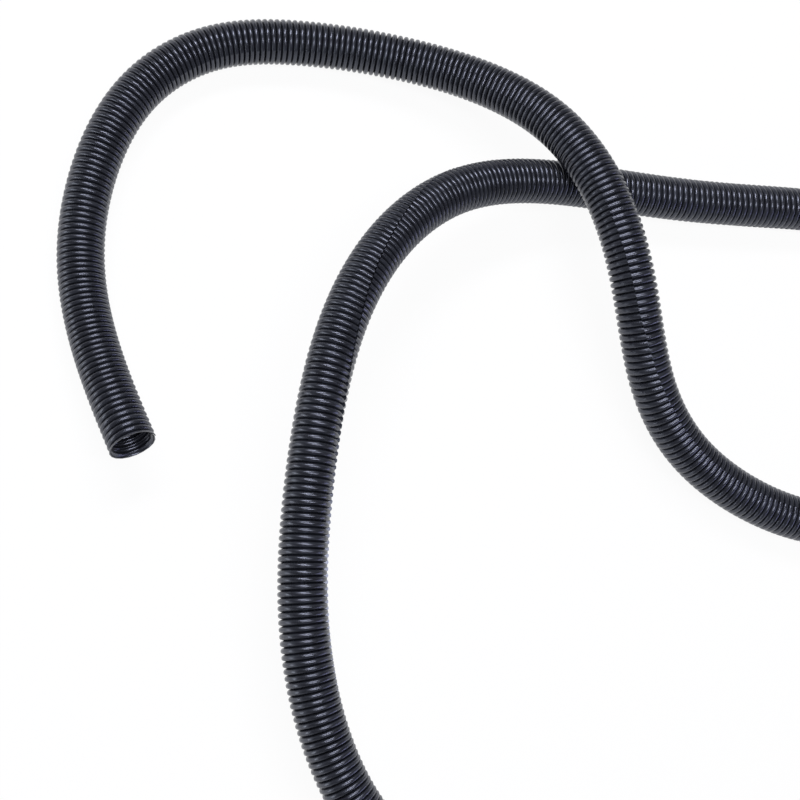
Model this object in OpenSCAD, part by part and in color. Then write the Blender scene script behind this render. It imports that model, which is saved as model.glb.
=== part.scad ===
// Split corrugated conduit: one moulded tube, cut to length and lying in a loose loop.

/* [Conduit] */
// Length of the piece along its middle line
tube_length = 2000; // [1200:10:2000]
// Diameter over the crests of the waves
outer_diameter = 25; // [16:0.5:26]
// Height of a wave from valley to crest
wave_depth = 2; // [1:0.1:3]
// Distance from one crest to the next
wave_pitch = 3.3; // [2.4:0.1:5]
// Thickness of the moulded wall
wall = 0.6; // [0.4:0.1:1.2]

/* [Slit] */
// Gap between the lips of the slit, which runs from end to end
slit_gap = 0.4; // [0.2:0.1:2]
// Place of the slit round the free end, in degrees from its underside
slit_start = 265; // [0:5:355]

/* [Ends] */
// Waves that are turned one by one at each cut end
end_waves = 12; // [4:1:12]

/* [Hidden] */
// The route as it lies: x, y and the height of the tube's underside above the floor.
route = [
    [-123, -78, 27], [-143, -31, 16], [-163, 16, 5], [-175, 66, 0], [-170, 118, 0], [-150, 168, 0],
    [-108, 200, 0], [-55, 205, 0], [-3, 201, 2], [45, 186, 14], [84, 156, 34], [108, 110, 46],
    [122, 60, 42], [134, 12, 22], [162, -26, 5], [210, -54, 0], [262, -65, 0], [310, -46, 0],
    [340, -3, 0], [345, 54, 0], [324, 102, 0], [280, 130, 0], [228, 129, 1], [176, 127, 3],
    [124, 129, 6], [73, 128, 16], [24, 115, 29], [-15, 81, 39], [-40, 35, 45], [-52, -15, 46],
    [-58, -67, 44], [-59, -119, 40], [-50, -169, 35], [-27, -218, 30], [13, -248, 21], [64, -253, 8],
    [116, -246, 0], [167, -238, 0], [218, -231, 0], [269, -224, 0], [321, -217, 0], [373, -210, 0]
];

// How far the slit has wound round the tube, in degrees, at distances along it.
slit_winding = [
    [0, 0], [510, -60], [580, -75], [640, -105], [740, -125], [1100, -225], [1330, -395],
    [1355, -425], [1385, -457], [1435, -491], [1480, -529], [1510, -538], [2000, -560]
];

outer_radius = outer_diameter / 2;
bore_radius = outer_radius - wave_depth - wall;
slit_half = asin(slit_gap / 2 / outer_radius);

// The swept stretch between the turned ends
sweep_sides = 12;
sweep_step = 14;
tongue_length = 3;
tongue_lead = 0.3;

// The route's smooth curve: a cubic spline steered by its points, measured along its length.
curve_steps = 14;
function blend(a, b, c, d, t) =
    ((1 - t) ^ 3 * a + (3 * t ^ 3 - 6 * t ^ 2 + 4) * b
    + (-3 * t ^ 3 + 3 * t ^ 2 + 3 * t + 1) * c + t ^ 3 * d) / 6;
function unit(v) = v / norm(v);
lifted = [for (p = route) p + [0, 0, outer_radius]];
curve = [
    for (i = [0 : len(route) - 4], j = [0 : curve_steps - 1])
        blend(lifted[i], lifted[i + 1], lifted[i + 2], lifted[i + 3], j / curve_steps),
    blend(lifted[len(route) - 4], lifted[len(route) - 3], lifted[len(route) - 2], lifted[len(route) - 1], 1)
];
reach = [
    for (i = 0, run = 0; i < len(curve); run = run + norm(curve[min(i + 1, len(curve) - 1)] - curve[i]), i = i + 1)
        run
];
function along(s) = [for (axis = [0 : 2]) lookup(s, [for (i = [0 : len(curve) - 1]) [reach[i], curve[i][axis]]])];

// One wave: a round crest and a narrow valley. A phase of 0 or 1 is a valley, 0.5 a crest.
wave_steps = 10;
function wave(phase) = abs(sin(180 * phase)) ^ 0.7;
function outer_at(z) = outer_radius - wave_depth + wave_depth * wave(z / wave_pitch + 0.5);
function inner_at(z) = outer_at(z) - wall;

// A turned end starts on a crest and stops on a rising flank.
// Its tongue leads on from there into the swept stretch.
end_length = (end_waves - 0.3) * wave_pitch;
sweep_start = end_length + tongue_lead;
swept_length = tube_length - 2 * sweep_start;
ring_count = ceil(swept_length / sweep_step);
stations = concat(
    [0],
    [for (k = [0 : ring_count]) sweep_start + k * swept_length / ring_count],
    [tube_length]
);
spots = [for (s = stations) along(s)];
headings = [for (k = [0 : len(spots) - 2]) unit(spots[k + 1] - spots[k])];
last = len(spots) - 1;
normals = [
    for (k = [0 : last])
        k < 2 ? headings[0] : k > last - 2 ? headings[last - 1] : unit(headings[k - 1] + headings[k])
];

// The direction of the underside is carried along without turning about the tube.
function carried(v, n) = unit(v - (v * n) * n);
undersides = [
    for (k = 0, v = carried([0, 0, -1], normals[0]); k <= last; k = k + 1, v = carried(v, normals[min(k, last)]))
        v
];
function slit_at(k) = slit_start + lookup(stations[min(max(k, 1), last - 1)], slit_winding);
function around(k, angle) =
    let (down = undersides[k], side = cross(normals[k], down), turned = angle + slit_at(k))
        cos(turned) * down + sin(turned) * side;

ring_angles = [for (i = [0 : sweep_sides]) slit_half + i * (360 - 2 * slit_half) / sweep_sides];
ring_size = 2 * (sweep_sides + 1);
function ring(k) = concat(
    [for (a = ring_angles) spots[k] + outer_radius * around(k, a)],
    [for (a = ring_angles) spots[k] + bore_radius * around(k, a)]
);

// The part stands on the floor with its box centred on the origin.
rings = [for (k = [1 : last - 1]) each ring(k)];
function middle(axis) = (min([for (p = rings) p[axis]]) + max([for (p = rings) p[axis]])) / 2;
origin = [middle(0), middle(1), 0];

// The section of a turned end, with its tongue, as radius against length.
module end_section() {
    steps = wave_steps * end_waves;
    lengths = [for (i = [0 : steps]) i * end_length / steps];
    tongue_end = end_length + tongue_length;
    polygon(concat(
        [for (z = lengths) [outer_at(z), z]],
        [[outer_at(end_length), tongue_end], [inner_at(end_length), tongue_end]],
        [for (i = [steps : -1 : 0]) [inner_at(lengths[i]), lengths[i]]]
    ));
}

// One cut end. The heading points from the mouth into the tube.
module turned_end(k, heading) {
    first = around(k, 0);
    second = cross(heading, first);
    spot = spots[k];
    multmatrix([for (axis = [0 : 2]) [first[axis], second[axis], heading[axis], spot[axis]]])
        rotate([0, 0, slit_half])
            rotate_extrude(angle = 360 - 2 * slit_half)
                end_section();
}

// The long bent stretch, swept along the route at the crests' outside and the valleys' inside.
module swept_tube() {
    rows = last - 1;
    half = sweep_sides + 1;
    function at(row, i) = row * ring_size + i;
    function quad(a, b, c, d) = [[a, b, c], [a, c, d]];
    outside = [for (r = [0 : rows - 2], i = [0 : sweep_sides - 1])
        each quad(at(r, i), at(r + 1, i), at(r + 1, i + 1), at(r, i + 1))];
    inside = [for (r = [0 : rows - 2], i = [half : half + sweep_sides - 1])
        each quad(at(r, i), at(r, i + 1), at(r + 1, i + 1), at(r + 1, i))];
    lips = [for (r = [0 : rows - 2]) each concat(
        quad(at(r, 0), at(r, half), at(r + 1, half), at(r + 1, 0)),
        quad(at(r, half - 1), at(r + 1, half - 1), at(r + 1, ring_size - 1), at(r, ring_size - 1))
    )];
    caps = [for (i = [0 : sweep_sides - 1]) each [
        [at(0, i), at(0, i + 1), at(0, half + i + 1), at(0, half + i)],
        [at(rows - 1, i), at(rows - 1, half + i), at(rows - 1, half + i + 1), at(rows - 1, i + 1)]
    ]];
    polyhedron(points = rings, faces = concat(outside, inside, lips, caps), convexity = 12);
}

module conduit() {
    color([0.11, 0.12, 0.14])
        translate(-origin) {
            turned_end(0, normals[0]);
            swept_tube();
            turned_end(last, -normals[last]);
        }
}

conduit();
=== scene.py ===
"""Split corrugated conduit: one black moulded tube, cut to length, lying loosely over itself."""

import logging
import math
from dataclasses import dataclass, field
from enum import Enum

import bpy
import numpy as np
from mathutils import Matrix, Vector

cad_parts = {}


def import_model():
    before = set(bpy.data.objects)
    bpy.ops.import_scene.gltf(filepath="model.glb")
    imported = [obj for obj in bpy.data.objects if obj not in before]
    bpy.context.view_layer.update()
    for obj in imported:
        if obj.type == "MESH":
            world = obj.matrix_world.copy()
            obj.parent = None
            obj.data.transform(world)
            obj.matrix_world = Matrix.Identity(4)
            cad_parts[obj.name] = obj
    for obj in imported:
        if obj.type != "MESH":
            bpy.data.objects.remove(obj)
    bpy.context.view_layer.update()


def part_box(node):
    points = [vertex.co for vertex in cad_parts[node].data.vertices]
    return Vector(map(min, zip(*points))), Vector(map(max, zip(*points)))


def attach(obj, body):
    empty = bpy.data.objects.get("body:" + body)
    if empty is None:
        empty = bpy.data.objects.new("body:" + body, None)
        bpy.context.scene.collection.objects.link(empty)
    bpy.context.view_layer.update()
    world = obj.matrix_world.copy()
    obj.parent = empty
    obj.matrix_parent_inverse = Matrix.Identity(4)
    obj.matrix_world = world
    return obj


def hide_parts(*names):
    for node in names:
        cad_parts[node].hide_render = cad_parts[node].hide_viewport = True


log = logging.getLogger("conduit")

MM = 0.001
# A wave runs from valley to valley, so its crest is half-way.
CREST = 0.5
Knots = tuple[tuple[float, float], ...]


def between(knots: Knots, at: np.ndarray) -> np.ndarray:
    """Reads a value off straight lines between knots.

    Args:
        knots: Pairs of distance along the tube and value.
        at: Distances along the tube, in the unit of the knots.

    Returns:
        One value for each distance.
    """
    distances, values = zip(*knots)
    return np.interp(at, distances, values)


def linear_colour(hex_value: str) -> tuple[float, float, float, float]:
    """Turns an sRGB hex value such as "#1a1b20" into linear RGBA.

    Args:
        hex_value: The colour as six hex digits after a hash.

    Returns:
        Linear red, green and blue, and an alpha of 1.
    """
    channels = [int(hex_value[i : i + 2], 16) / 255 for i in (1, 3, 5)]
    linear = [c / 12.92 if c <= 0.04045 else ((c + 0.055) / 1.055) ** 2.4 for c in channels]
    return (*linear, 1.0)


@dataclass(frozen=True)
class Stations:
    """Places along the middle line: where each is, its heading, its underside and its side."""

    centre: np.ndarray
    heading: np.ndarray
    down: np.ndarray
    side: np.ndarray


@dataclass
class Route:
    """The way the tube lies, in millimetres: points that steer a cubic spline.

    They are those of the part's source: x, y and the height of the tube's underside.
    """

    points: tuple[tuple[int, int, int], ...] = (
        (-123, -78, 27), (-143, -31, 16), (-163, 16, 5), (-175, 66, 0), (-170, 118, 0),
        (-150, 168, 0), (-108, 200, 0), (-55, 205, 0), (-3, 201, 2), (45, 186, 14),
        (84, 156, 34), (108, 110, 46), (122, 60, 42), (134, 12, 22), (162, -26, 5),
        (210, -54, 0), (262, -65, 0), (310, -46, 0), (340, -3, 0), (345, 54, 0),
        (324, 102, 0), (280, 130, 0), (228, 129, 1), (176, 127, 3), (124, 129, 6),
        (73, 128, 16), (24, 115, 29), (-15, 81, 39), (-40, 35, 45), (-52, -15, 46),
        (-58, -67, 44), (-59, -119, 40), (-50, -169, 35), (-27, -218, 30), (13, -248, 21),
        (64, -253, 8), (116, -246, 0), (167, -238, 0), (218, -231, 0), (269, -224, 0),
        (321, -217, 0), (373, -210, 0),
    )
    radius: float = 12.5
    steps_per_point: int = 60
    # The heading is taken over this far each way, in millimetres.
    heading_reach: float = 2.0
    line: np.ndarray = field(init=False)
    reach: np.ndarray = field(init=False)
    offset: np.ndarray = field(init=False)

    def __post_init__(self) -> None:
        """Lays the smooth line and moves it to the box of the part."""
        lifted = np.array(self.points, float) + (0.0, 0.0, self.radius)
        t = np.arange(self.steps_per_point)[:, None] / self.steps_per_point
        weights = np.hstack(
            [(1 - t) ** 3, 3 * t**3 - 6 * t**2 + 4, -3 * t**3 + 3 * t**2 + 3 * t + 1, t**3]
        )
        spans = [weights @ lifted[i : i + 4] / 6 for i in range(len(lifted) - 3)]
        self.line = np.vstack([*spans, lifted[-3:].T @ np.array([1, 4, 1]) / 6])
        steps = np.linalg.norm(np.diff(self.line, axis=0), axis=1)
        self.reach = np.concatenate([[0.0], np.cumsum(steps)])
        self.offset = self._middle_of_part() - self._middle_of_line()

    def _middle_of_part(self) -> np.ndarray:
        """The middle of the part's box in X and Y, in millimetres, and the floor."""
        low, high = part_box("conduit")
        return np.array([(low[0] + high[0]) / 2, (low[1] + high[1]) / 2, 0.0]) / MM

    def _middle_of_line(self) -> np.ndarray:
        """Finds the middle of the laid tube's box.

        Returns:
            The middle in X and Y in the route's own numbers, and the floor.
        """
        heading = np.gradient(self.line, self.reach, axis=0)
        spread = self.radius * np.sqrt(np.clip(1 - heading**2, 0, 1))
        low = (self.line - spread).min(axis=0)
        high = (self.line + spread).max(axis=0)
        return np.array([(low[0] + high[0]) / 2, (low[1] + high[1]) / 2, 0.0])

    def _spots(self, at: np.ndarray) -> np.ndarray:
        """The points of the middle line at distances along it, in the route's own numbers."""
        return np.column_stack([np.interp(at, self.reach, self.line[:, k]) for k in range(3)])

    def stations(self, at: np.ndarray) -> Stations:
        """Finds places along the middle line.

        Args:
            at: Rising distances along the tube from its free end, in millimetres.

        Returns:
            The places, with an underside that is carried along without turning about the tube.
        """
        centre = self._spots(at)
        heading = self._spots(at + self.heading_reach) - self._spots(at - self.heading_reach)
        heading /= np.linalg.norm(heading, axis=1)[:, None]
        down = np.empty_like(centre)
        carried = np.array([0.0, 0.0, -1.0])
        for k, direction in enumerate(heading):
            carried = carried - (carried @ direction) * direction
            carried /= np.linalg.norm(carried)
            down[k] = carried
        return Stations(centre + self.offset, heading, down, np.cross(heading, down))


@dataclass
class Slit:
    """The slit from end to end, in millimetres and degrees: where it lies, and how its lips meet.

    The lips lie shut along the first run, but for its cut end. Further on, the bends part them,
    shift them along and press one below the other.
    """

    # Its place round the free end, from the underside, and how far it has wound on from there.
    # Past 1100 mm it lies up to 44 degrees further round than in the part's source.
    start: float = 265.0
    winding: Knots = (
        (0, 0), (510, -60), (580, -75), (640, -105), (740, -125), (1100, -225), (1270, -365),
        (1325, -438), (1350, -459), (1395, -490), (1435, -518), (1465, -535), (1530, -544),
        (2000, -560),
    )
    # How far apart the lips stand.
    gap: Knots = (
        (0, 0.3), (40, 0.02), (490, 0.02), (560, 0.1), (1250, 0.1), (1320, 0.3), (1345, 0.6),
        (1400, 0.9), (1500, 1.0), (1540, 0.45), (2000, 0.4),
    )
    # How far, in waves, the ribs of one lip lie along from those of the other.
    stagger: Knots = (
        (0, 0.0), (500, 0.0), (560, 0.2), (760, 0.1), (1300, 0.3), (1420, 0.45), (2000, 0.4),
    )
    # The ribs of both lips meet at the cut ends, and drift apart over this stretch.
    stagger_fade: float = 30.0
    # How far a lip is pressed below the other: above 0 the last round the tube, below 0 the first.
    tuck: Knots = (
        (0, -0.7), (40, 0.0), (510, 0.0), (560, 0.2), (760, 0.0), (1250, 0.0), (1340, 0.25),
        (1400, 0.1), (1425, -0.5), (1530, -0.6), (1600, 0.3), (2000, 0.4),
    )
    # The share of the way round that a pressed lip takes with it.
    tuck_reach: float = 0.09

    def angle(self, at: np.ndarray) -> np.ndarray:
        """The slit's place round the tube from its underside, in radians."""
        return np.radians(self.start + between(self.winding, at))

    def pressed(self, at: np.ndarray, round_tube: np.ndarray) -> np.ndarray:
        """How far the wall is pressed inwards near the lips.

        Args:
            at: Distances along the tube, one for each ring.
            round_tube: Shares of the way round from the first lip to the last, from 0 to 1.

        Returns:
            Millimetres for each ring and each place round it.
        """
        tuck = between(self.tuck, at)[:, None]
        last = np.clip((round_tube - 1 + self.tuck_reach) / self.tuck_reach, 0, 1)
        first = np.clip((self.tuck_reach - round_tube) / self.tuck_reach, 0, 1)
        last, first = (x * x * (3 - 2 * x) for x in (last, first))
        return np.maximum(tuck, 0) * last[None, :] + np.maximum(-tuck, 0) * first[None, :]


@dataclass
class Waves:
    """The corrugation: round crests with narrow valleys between them. Millimetres."""

    depth: float = 2.0
    wall: float = 0.6
    # The tube is stretched and pushed together by hand, so its waves stand closer or wider.
    spacing: Knots = (
        (0, 2.95), (90, 2.95), (130, 3.35), (180, 3.35), (245, 3.1), (310, 3.3), (430, 3.2),
        (520, 3.3), (590, 3.7), (620, 3.65), (680, 3.3), (750, 3.3), (900, 3.3), (1100, 3.5),
        (1200, 3.4), (1280, 2.95), (1350, 2.98), (1400, 3.3), (1450, 3.65), (1520, 3.35),
        (1620, 3.1), (1720, 3.15), (2000, 3.3),
    )
    # One wave from valley to valley: share of its length, and share of its depth.
    shape: Knots = (
        (0.0, 0.0), (0.13, 0.64), (0.29, 0.94), (CREST, 1.0), (0.71, 0.94), (0.87, 0.64),
    )

    def crests(self, length: float) -> np.ndarray:
        """Places the crests, the first and the last of them on the two cut ends.

        Args:
            length: Length of the tube.

        Returns:
            Distances of the crests along the tube.
        """
        places = [0.0]
        while places[-1] < length:
            places.append(places[-1] + float(between(self.spacing, np.array(places[-1]))))
        return np.array(places) * length / places[-1]


class Skin(Enum):
    """Which side of the wall a ring of points belongs to."""

    OUTSIDE = 0
    INSIDE = 1


def add_node(
    tree: bpy.types.NodeTree,
    kind: str,
    settings: dict[str | int, float] | None = None,
    links: dict[str | int, bpy.types.NodeSocket] | None = None,
    operation: str | None = None,
) -> bpy.types.Node:
    """Adds one node with its settings and links.

    Args:
        tree: The tree that gets the node.
        kind: The node's type name.
        settings: Values for its input sockets, by the socket's name or number.
        links: Sockets that feed its inputs, by the input's name or number.
        operation: What a maths node does.

    Returns:
        The new node.
    """
    node = tree.nodes.new(kind)
    if operation:
        node.operation = operation
    for name, value in (settings or {}).items():
        node.inputs[name].default_value = value
    for name, source in (links or {}).items():
        tree.links.new(source, node.inputs[name])
    return node


@dataclass(frozen=True)
class BlackPolypropylene:
    """Black polypropylene, moulded into waves: satin, with a faint orange-peel grain."""

    # Carbon black takes nearly all the light, so what the eye sees is the skin's sheen.
    body: str = "#18191d"
    # Where the skin is rubbed or thin, the black is a little greyer.
    worn: str = "#1f2126"
    # The plastic's own IOR is 1.5; the moulded skin shines more than that gives.
    ior: float = 1.72
    # The skin's shine is a little cool.
    sheen: str = "#e4eaff"
    # Handling leaves blotches about 9 mm across, greyer and duller than the rest.
    roughness_low: float = 0.24
    roughness_high: float = 0.32
    blotch_mm: float = 9.0
    # Between these levels of the blotches' noise, the colour and the roughness change over.
    colour_turns: tuple[float, float] = (0.35, 0.75)
    roughness_turns: tuple[float, float] = (0.3, 0.7)
    # Real grain is about 0.1 mm; it is drawn at 0.4 mm so that it shows.
    grain_mm: float = 0.4
    grain_height_mm: float = 0.001

    def material(self) -> bpy.types.Material:
        """Builds the node material.

        Returns:
            The finished material.
        """
        material = bpy.data.materials.new("black_polypropylene")
        material.use_nodes = True
        tree = material.node_tree
        shader = tree.nodes["Principled BSDF"]
        shader.inputs["IOR"].default_value = self.ior
        shader.inputs["Specular Tint"].default_value = linear_colour(self.sheen)
        place = add_node(tree, "ShaderNodeTexCoord")
        blotches = add_node(
            tree,
            "ShaderNodeTexNoise",
            {"Scale": 1 / (self.blotch_mm * MM), "Detail": 3.0, "Roughness": 0.55},
            {"Vector": place.outputs["Object"]},
        )
        colour = add_node(tree, "ShaderNodeValToRGB", links={"Fac": blotches.outputs["Fac"]})
        stops = zip(colour.color_ramp.elements, self.colour_turns, (self.body, self.worn))
        for stop, turn, shade in stops:
            stop.position = turn
            stop.color = linear_colour(shade)
        sheen = add_node(
            tree,
            "ShaderNodeMapRange",
            {
                "From Min": self.roughness_turns[0],
                "From Max": self.roughness_turns[1],
                "To Min": self.roughness_low,
                "To Max": self.roughness_high,
            },
            {"Value": blotches.outputs["Fac"]},
        )
        grain = add_node(
            tree,
            "ShaderNodeTexNoise",
            {"Scale": 1 / (self.grain_mm * MM), "Detail": 2.0, "Roughness": 0.5},
            {"Vector": place.outputs["Object"]},
        )
        bump = add_node(
            tree,
            "ShaderNodeBump",
            {"Strength": 1.0, "Distance": self.grain_height_mm * MM},
            {"Height": grain.outputs["Fac"]},
        )
        tree.links.new(colour.outputs["Color"], shader.inputs["Base Color"])
        tree.links.new(sheen.outputs["Result"], shader.inputs["Roughness"])
        tree.links.new(bump.outputs["Normal"], shader.inputs["Normal"])
        return material


@dataclass(frozen=True)
class WhitePaper:
    """Matt white background paper, which takes only a trace of the part's shadow."""

    colour: str = "#f2f2f2"
    roughness: float = 0.9
    # How much of it is shown as plain white, so that only a trace of the shadow is left.
    white_share: float = 0.94

    def material(self) -> bpy.types.Material:
        """Builds the node material.

        Returns:
            The finished material.
        """
        material = bpy.data.materials.new("white_paper")
        material.use_nodes = True
        tree = material.node_tree
        paper = tree.nodes["Principled BSDF"]
        paper.inputs["Base Color"].default_value = linear_colour(self.colour)
        paper.inputs["Roughness"].default_value = self.roughness
        white = add_node(tree, "ShaderNodeEmission", {"Strength": 1.0})
        rays = add_node(tree, "ShaderNodeLightPath")
        looked_at = add_node(
            tree,
            "ShaderNodeMath",
            links={0: rays.outputs["Is Camera Ray"], 1: rays.outputs["Is Glossy Ray"]},
            operation="MAXIMUM",
        )
        shown = add_node(
            tree,
            "ShaderNodeMath",
            links={0: looked_at.outputs[0], 1: rays.outputs["Is Transmission Ray"]},
            operation="MAXIMUM",
        )
        seen = add_node(
            tree, "ShaderNodeMath", {1: self.white_share}, {0: shown.outputs[0]}, "MULTIPLY"
        )
        mixed = add_node(
            tree,
            "ShaderNodeMixShader",
            links={"Fac": seen.outputs[0], 1: paper.outputs[0], 2: white.outputs[0]},
        )
        tree.links.new(mixed.outputs[0], tree.nodes["Material Output"].inputs["Surface"])
        return material


@dataclass
class Conduit:
    """The tube itself, in millimetres: corrugated, slit from end to end and cut at both ends."""

    length: float = 2000.0
    radius: float = 12.5
    route: Route = field(default_factory=Route)
    waves: Waves = field(default_factory=Waves)
    slit: Slit = field(default_factory=Slit)
    finish: BlackPolypropylene = field(default_factory=BlackPolypropylene)
    sides: int = 20
    # The bore is waved this far in from each mouth, and plain beyond, where nothing shows it.
    waved_mouth: float = 45.0
    # The free end is cut by hand: this much long, and by the slant more at its underside and less
    # at its top. That is taken up over the stretch behind it.
    cut_reach: float = 3.2
    cut_slant: float = 1.0
    cut_stretch: float = 30.0
    # How many points are taken along the middle line for its path.
    path_points: int = 241
    # Smooth faces make up the two sides of the wall, flat ones its lips and its cut rims.
    smooth_faces: list[tuple[int, ...]] = field(default_factory=list)
    flat_faces: list[tuple[int, ...]] = field(default_factory=list)

    def rings(self) -> tuple[np.ndarray, np.ndarray, np.ndarray]:
        """Places every ring of points along the tube.

        Returns:
            The rings' distances, their height above the valleys as a share of the depth, and the
            length of the wave that each is in.
        """
        crests = self.waves.crests(self.length)
        valleys = crests[:-1] + np.diff(crests) / 2
        shares, heights = np.array(self.waves.shape).T
        at = (valleys[:-1, None] + shares[None, :] * np.diff(valleys)[:, None]).ravel()
        height = np.tile(heights, len(valleys) - 1)
        # The tube is cut through a crest at each end: it starts with the back half of a wave and
        # ends with the front half of one.
        back = shares > CREST
        front = (shares < CREST) & (shares > 0)
        first = (shares[back] - CREST) * 2 * valleys[0]
        last = valleys[-1] + shares[front] * 2 * (self.length - valleys[-1])
        at = np.concatenate([[0.0], first, at, [valleys[-1]], last, [self.length]])
        height = np.concatenate([[1.0], heights[back], height, [0.0], heights[front], [1.0]])
        pitch = np.interp(at, valleys, np.gradient(valleys))
        return at, height, pitch

    def build(self) -> bpy.types.Object:
        """Builds the tube's mesh.

        Returns:
            The tube, standing for the part's solid.
        """
        at, height, pitch = self.rings()
        stations = self.route.stations(at)
        from_end = np.minimum(at, self.length - at)

        # Round the tube, from the first lip to the last.
        turn = np.linspace(0.0, 1.0, self.sides + 1)
        half_gap = between(self.slit.gap, at) / 2 / self.radius
        angle = (
            self.slit.angle(at)[:, None]
            + half_gap[:, None]
            + turn[None, :] * (2 * math.pi - 2 * half_gap[:, None])
        )
        ray = (
            np.cos(angle)[:, :, None] * stations.down[:, None, :]
            + np.sin(angle)[:, :, None] * stations.side[:, None, :]
        )

        # Along the tube: the staggered ribs and the hand-cut end.
        along = (between(self.slit.stagger, at) * pitch)[:, None] * (turn[None, :] - 0.5)
        along *= np.clip(from_end / self.slit.stagger_fade, 0, 1)[:, None]
        cut = np.clip(1 - at / self.cut_stretch, 0, 1)[:, None]
        along -= cut * (self.cut_reach + self.cut_slant * np.cos(angle))
        base = stations.centre[:, None, :] + along[:, :, None] * stations.heading[:, None, :]

        # Out from the middle line: the waves outside, and inside near the mouths.
        pressed = self.slit.pressed(at, turn)
        outer = (self.radius - self.waves.depth * (1 - height))[:, None] - pressed
        bore = self.radius - self.waves.depth - self.waves.wall
        waved = from_end < self.waved_mouth
        inner = np.where(waved[:, None], outer - self.waves.wall, bore - pressed)
        kept = np.flatnonzero(waved | (height == 0))
        outside = base + outer[:, :, None] * ray
        inside = (base + inner[:, :, None] * ray)[kept]

        self._add_faces(len(at), kept)
        vertices = np.vstack([outside.reshape(-1, 3), inside.reshape(-1, 3)]) * MM
        mesh = bpy.data.meshes.new("conduit_tube")
        mesh.from_pydata(vertices.tolist(), [], self.smooth_faces + self.flat_faces)
        smooth = [True] * len(self.smooth_faces) + [False] * len(self.flat_faces)
        mesh.polygons.foreach_set("use_smooth", smooth)
        mesh.validate()
        self._sharpen(mesh, np.flatnonzero(height == 0))
        tube = bpy.data.objects.new("conduit_tube", mesh)
        bpy.context.scene.collection.objects.link(tube)
        return tube

    def _sharpen(self, mesh: bpy.types.Mesh, valleys: np.ndarray) -> None:
        """Marks the edges that stay crisp: the lips, the rims and the bottoms of the valleys.

        Args:
            mesh: The tube's mesh.
            valleys: Numbers of the outside's rings that lie in a valley.
        """
        for polygon in mesh.polygons:
            if not polygon.use_smooth:
                for loop in polygon.loop_indices:
                    mesh.edges[mesh.loops[loop].edge_index].use_edge_sharp = True
        row = self.sides + 1
        ends = np.empty(2 * len(mesh.edges), int)
        mesh.edges.foreach_get("vertices", ends)
        rings = ends.reshape(-1, 2) // row
        lowest = (rings[:, 0] == rings[:, 1]) & np.isin(rings[:, 0], valleys)
        for edge in np.flatnonzero(lowest):
            mesh.edges[edge].use_edge_sharp = True

    def _add_faces(self, ring_count: int, kept: np.ndarray) -> None:
        """Joins the rings into the two sides of the wall, its lips and its two cut rims.

        Args:
            ring_count: How many rings the outside has.
            kept: Which of them have a ring inside too, the first and the last among them.
        """
        row = self.sides + 1
        start_inside = ring_count * row

        def index(skin: Skin, ring: int, place: int) -> int:
            """The number of a point, by its side of the wall, its ring and its place in it."""
            return skin.value * start_inside + ring * row + place

        def square(skin: Skin, ring: int, place: int) -> tuple[int, ...]:
            """The face from a point to the next ring and the next place, facing the middle line."""
            corners = ((ring, place), (ring + 1, place), (ring + 1, place + 1), (ring, place + 1))
            return tuple(index(skin, *corner) for corner in corners)

        for ring in range(ring_count - 1):
            for place in range(self.sides):
                self.smooth_faces.append(square(Skin.OUTSIDE, ring, place)[::-1])
        for ring in range(len(kept) - 1):
            for place in range(self.sides):
                self.smooth_faces.append(square(Skin.INSIDE, ring, place))
            for place in (0, self.sides):
                rings = range(kept[ring], kept[ring + 1] + 1)
                edge = [index(Skin.OUTSIDE, k, place) for k in rings]
                lip = [*edge, index(Skin.INSIDE, ring + 1, place), index(Skin.INSIDE, ring, place)]
                self.flat_faces.append(tuple(reversed(lip) if place else lip))
        for outer_ring, inner_ring in ((0, 0), (ring_count - 1, len(kept) - 1)):
            for place in range(self.sides):
                rim = (
                    index(Skin.OUTSIDE, outer_ring, place),
                    index(Skin.OUTSIDE, outer_ring, place + 1),
                    index(Skin.INSIDE, inner_ring, place + 1),
                    index(Skin.INSIDE, inner_ring, place),
                )
                self.flat_faces.append(rim if outer_ring else tuple(reversed(rim)))

    def dress(self, tube: bpy.types.Object) -> None:
        """Gives the tube its finish, hangs it under the root body and hides the part's own mesh.

        Args:
            tube: The tube's mesh object.
        """
        tube.data.materials.append(self.finish.material())
        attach(tube, "root")
        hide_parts("conduit")
        path = self.route.stations(np.linspace(0, self.length, self.path_points)).centre * MM


class Lamp(Enum):
    """The studio's soft boxes: place and size in metres, power in watts, and colour."""

    KEY = ((-0.35, 0.95, 1.35), (1.1, 0.3), 19.0, "#f8f8ff")
    TOP = ((0.0, -0.25, 1.6), (1.1, 0.3), 15.0, "#f8f8ff")
    LEFT = ((-1.5, -0.4, 0.15), (1.2, 0.3), 5.0, "#f2f6f6")
    RIGHT = ((1.5, -0.8, 0.15), (1.4, 0.3), 5.0, "#c8c8ff")


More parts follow.
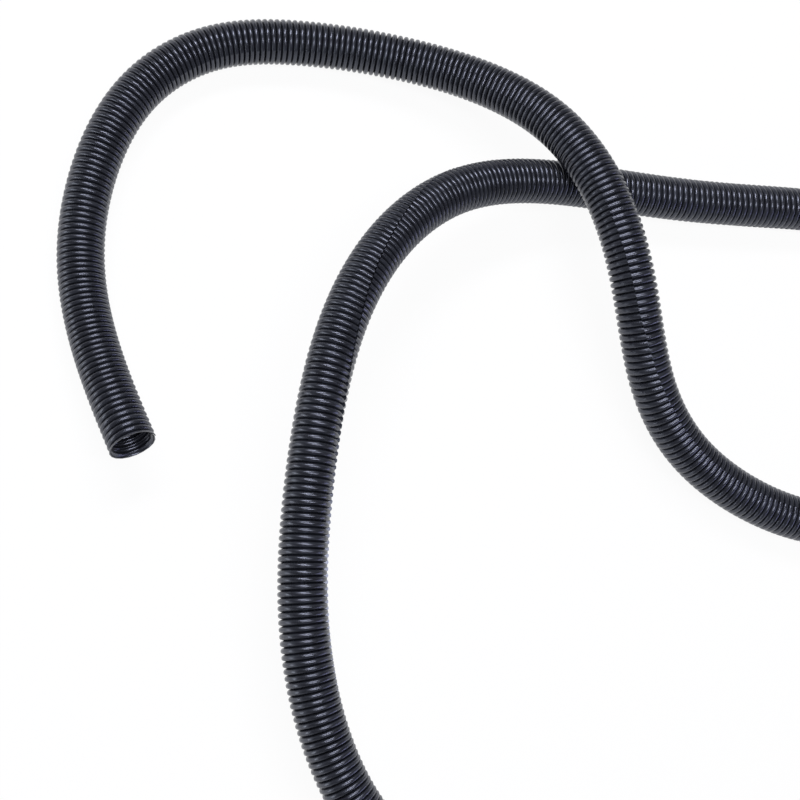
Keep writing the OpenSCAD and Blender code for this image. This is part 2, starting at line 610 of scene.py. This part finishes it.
@dataclass
class Studio:
    """Camera, lamps, pale floor and white surroundings. Metres."""

    # The camera's place in the route's own millimetres, the way it looks and its right.
    camera_place: tuple[float, float, float] = (-163.8, -165.4, 735.0)
    view: tuple[float, float, float] = (0.2158, 0.2179, -0.9518)
    right: tuple[float, float, float] = (0.97525, 0.0, 0.22112)
    lens: float = 63.0
    sensor: float = 36.0
    floor_size: float = 12.0
    paper: WhitePaper = field(default_factory=WhitePaper)
    # Pale walls all round, which fade into a dim ceiling. The heights where they start and stop
    # fading are sines of the angle above the horizon.
    wall_colour: str = "#f6f6ff"
    wall: float = 0.5
    ceiling: float = 0.14
    wall_top: float = 0.1
    ceiling_from: float = 0.45

    def place_camera(self, offset: np.ndarray) -> None:
        """Sets the camera at its height over the part, rolled as it was held.

        Args:
            offset: From the route's own millimetres to the part's frame.
        """
        camera = bpy.data.cameras.new("camera")
        camera.lens = self.lens
        camera.sensor_width = self.sensor
        holder = bpy.data.objects.new("camera", camera)
        bpy.context.scene.collection.objects.link(holder)
        back = -Vector(self.view).normalized()
        right = Vector(self.right)
        right = (right - right.dot(back) * back).normalized()
        up = back.cross(right)
        turned = Matrix((right, up, back)).transposed().to_4x4()
        holder.matrix_world = Matrix.Translation(Vector(self.camera_place + offset) * MM) @ turned
        bpy.context.scene.camera = holder

    def light(self) -> None:
        """Hangs the soft boxes and sets the surroundings."""
        for lamp in Lamp:
            place, size, power, colour = lamp.value
            data = bpy.data.lights.new(lamp.name.lower(), "AREA")
            data.shape = "RECTANGLE"
            data.size, data.size_y = size
            data.energy = power
            data.color = linear_colour(colour)[:3]
            box = bpy.data.objects.new(lamp.name.lower(), data)
            box.location = place
            box.rotation_euler = Vector(place).to_track_quat("Z", "Y").to_euler()
            bpy.context.scene.collection.objects.link(box)
        world = bpy.data.worlds.new("pale_walls_dim_ceiling")
        bpy.context.scene.world = world
        world.use_nodes = True
        tree = world.node_tree
        place = add_node(tree, "ShaderNodeTexCoord")
        axes = add_node(
            tree, "ShaderNodeSeparateXYZ", links={"Vector": place.outputs["Generated"]}
        )
        level = add_node(
            tree,
            "ShaderNodeMapRange",
            {
                "From Min": self.wall_top,
                "From Max": self.ceiling_from,
                "To Min": self.wall,
                "To Max": self.ceiling,
            },
            {"Value": axes.outputs["Z"]},
        )
        background = tree.nodes["Background"]
        background.inputs["Color"].default_value = linear_colour(self.wall_colour)
        tree.links.new(level.outputs["Result"], background.inputs["Strength"])

    def lay_floor(self) -> None:
        """Lays the paper that the part rests on."""
        half = self.floor_size / 2
        corners = [(-half, -half, 0), (half, -half, 0), (half, half, 0), (-half, half, 0)]
        mesh = bpy.data.meshes.new("floor")
        mesh.from_pydata(corners, [], [(0, 1, 2, 3)])
        floor = bpy.data.objects.new("floor", mesh)
        bpy.context.scene.collection.objects.link(floor)
        mesh.materials.append(self.paper.material())


def main() -> None:
    """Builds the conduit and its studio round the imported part."""
    logging.basicConfig(level=logging.INFO, format="%(message)s")
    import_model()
    bpy.context.scene.view_settings.view_transform = "Standard"
    conduit = Conduit()
    studio = Studio()
    studio.place_camera(conduit.route.offset)
    tube = conduit.build()
    conduit.dress(tube)
    log.info("conduit: %d faces", len(tube.data.polygons))
    studio.light()
    studio.lay_floor()
    log.info("studio: %d lamps and a floor", len(Lamp))


if __name__ == "__main__":
    main()
